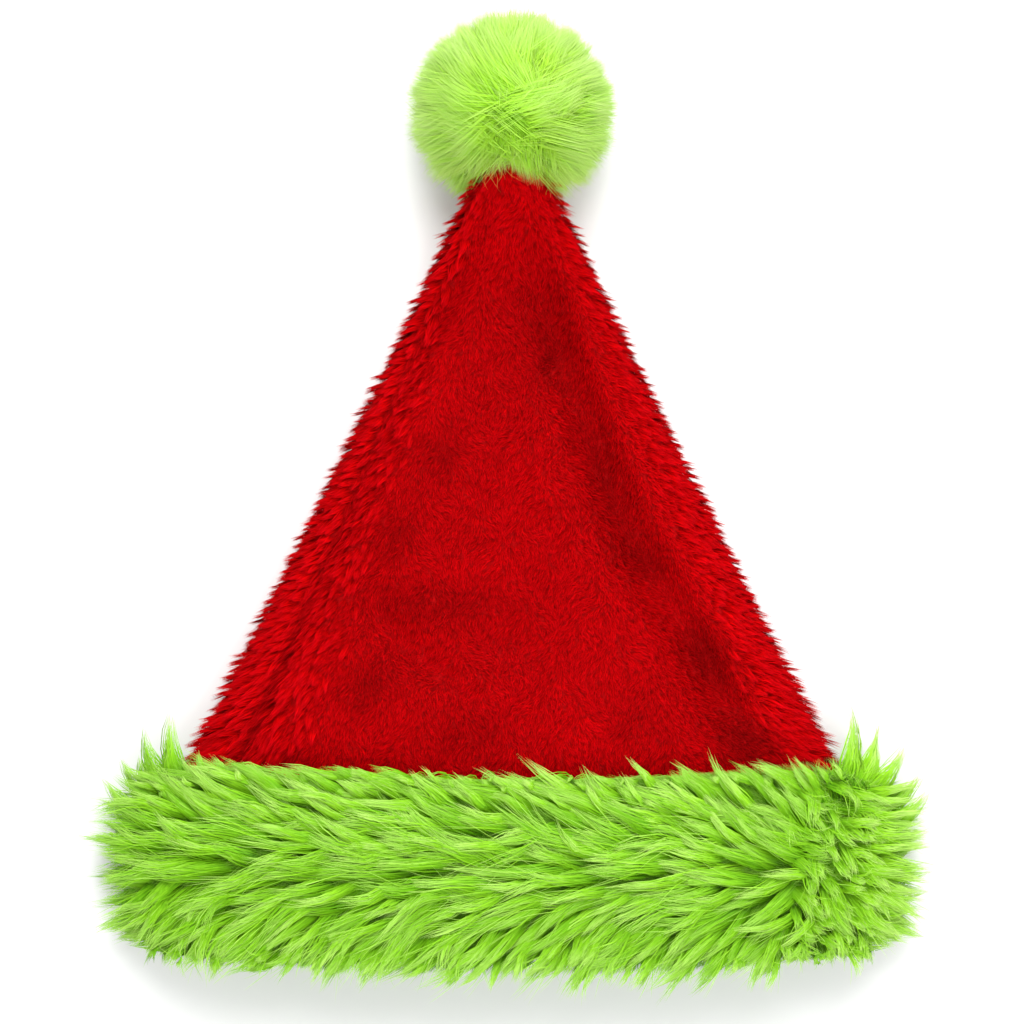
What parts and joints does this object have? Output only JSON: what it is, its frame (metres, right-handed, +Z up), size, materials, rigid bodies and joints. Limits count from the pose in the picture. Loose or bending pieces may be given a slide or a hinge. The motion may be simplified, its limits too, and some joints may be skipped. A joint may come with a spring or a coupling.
{
  "type": "santa hat",
  "caption": "Plush santa hat lying flat: hollow cone with a side seam, deep long-haired fur band round the rim and a fur pompom on the gathered tip.",
  "frame": {"origin": "centre of the whole hat's box, on the surface that it lies on", "axes": "+Z up out of the surface, +Y along the lying hat from its mouth to its pompom, +X to the right as seen from above"},
  "size_m": [0.3458, 0.4068, 0.0774],
  "materials": {
    "red_plush": "short plush pile",
    "green_fur": "long-haired faux fur"
  },
  "bodies": {
    "root": {"crown": "red_plush", "fur_band": "green_fur", "pompom": "green_fur"}
  },
  "joints": []
}
